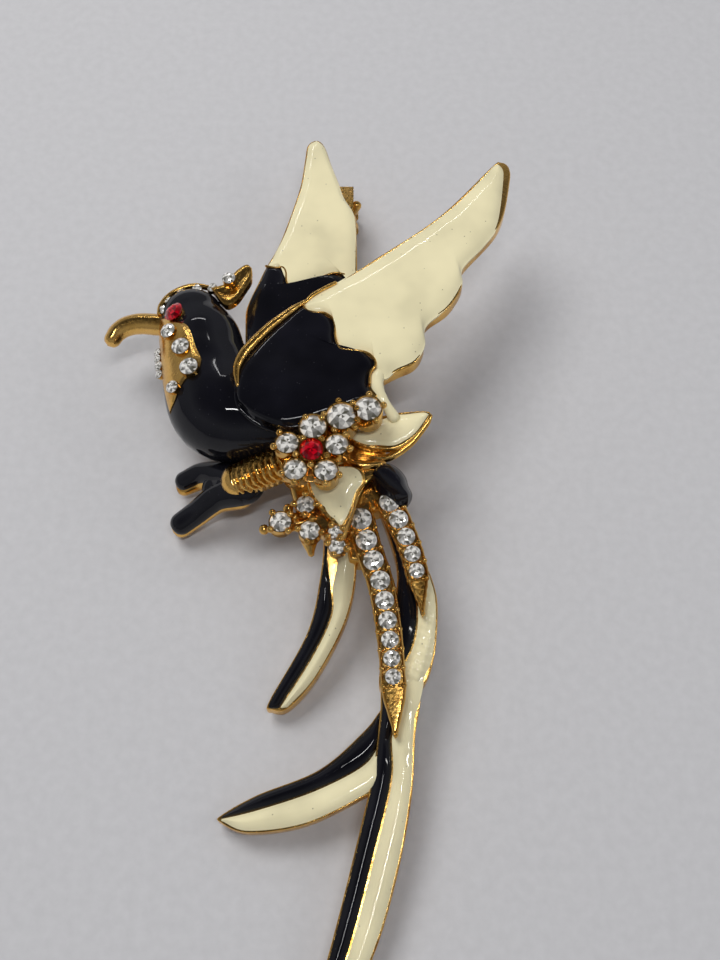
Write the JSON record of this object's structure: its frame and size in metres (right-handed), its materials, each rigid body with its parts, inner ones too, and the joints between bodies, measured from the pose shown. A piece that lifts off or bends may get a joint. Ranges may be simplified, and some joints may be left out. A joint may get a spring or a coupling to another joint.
{
  "type": "bird of paradise hair and scarf pin",
  "caption": "Enamelled bird-shaped ornamental pin with set glass stones, a hinged pin wire and a turning safety catch on its back.",
  "frame": {"origin": "middle of the outer size in X and Y, on the surface that the pin's back rests on", "axes": "+Z out of the face, +Y from the tail tip to the wing tips, +X from the beak side to the front wing's side"},
  "size_m": [0.0464, 0.1085, 0.0169],
  "materials": {
    "gold_casting": "polished gold-tone plating over a cast white-metal alloy",
    "gold_setting": "bright gold-tone plating on cups and channels",
    "gold_fitting": "gold-tone plated brass, lightly worn",
    "pin_wire": "gold-flashed steel wire",
    "black_enamel": "glossy black cold enamel, domed",
    "cream_enamel": "glossy ivory cold enamel with fine specks",
    "clear_stone": "clear faceted glass, foil-backed",
    "red_stone": "red faceted glass, foil-backed"
  },
  "bodies": {
    "root": {"beak": "gold_casting", "body_enamel": "black_enamel", "body_shell": "gold_casting", "bud_setting": "gold_setting", "bud_stones": "clear_stone", "catch_base": "gold_fitting", "crest": "gold_casting", "crest_stones": "clear_stone", "eye_setting": "gold_setting", "eye_stone": "red_stone", "far_foot": "gold_casting", "far_foot_enamel": "black_enamel", "far_wing": "gold_casting", "far_wing_black_enamel": "black_enamel", "far_wing_cream_enamel": "cream_enamel", "flower_centre_stone": "red_stone", "flower_petal_stones": "clear_stone", "flower_setting": "gold_setting", "hinge_base": "gold_fitting", "hinge_rivet": "gold_fitting", "long_strand": "gold_setting", "long_strand_stones": "clear_stone", "lower_feather": "gold_casting", "lower_feather_black_enamel": "black_enamel", "lower_feather_cream_enamel": "cream_enamel", "lower_leaf": "gold_casting", "lower_leaf_enamel": "cream_enamel", "main_feather": "gold_casting", "main_feather_black_enamel": "black_enamel", "main_feather_cream_enamel": "cream_enamel", "near_claw": "gold_casting", "near_claw_enamel": "black_enamel", "near_leg": "gold_casting", "near_wing": "gold_casting", "near_wing_black_enamel": "black_enamel", "near_wing_cream_enamel": "cream_enamel", "near_wing_ridge": "gold_casting", "right_feather": "gold_casting", "right_feather_black_enamel": "black_enamel", "right_feather_cream_enamel": "cream_enamel", "short_feather": "gold_casting", "short_feather_black_enamel": "black_enamel", "short_feather_cream_enamel": "cream_enamel", "short_strand": "gold_setting", "short_strand_stones": "clear_stone", "spray_base": "gold_casting", "sprig_setting": "gold_setting", "sprig_stones": "clear_stone", "tail_root": "gold_casting", "throat_plate": "gold_casting", "throat_stones": "clear_stone", "upper_leaf": "gold_casting", "upper_leaf_enamel": "cream_enamel"},
    "pin": {"pin_stem": "pin_wire"},
    "sleeve": {"catch_sleeve": "gold_fitting"}
  },
  "joints": [
    {"name": "stem_hinge", "type": "hinge", "parent": "root", "child": "pin", "pos_m": [0.0047, 0.0082, 0.0016], "axis": [-1, 0, 0], "range_deg": [0, 110]},
    {"name": "catch_turn", "type": "hinge", "parent": "root", "child": "sleeve", "pos_m": [0.0047, 0.0462, 0.0016], "axis": [0, 1, 0], "range_deg": [0, 80]}
  ]
}
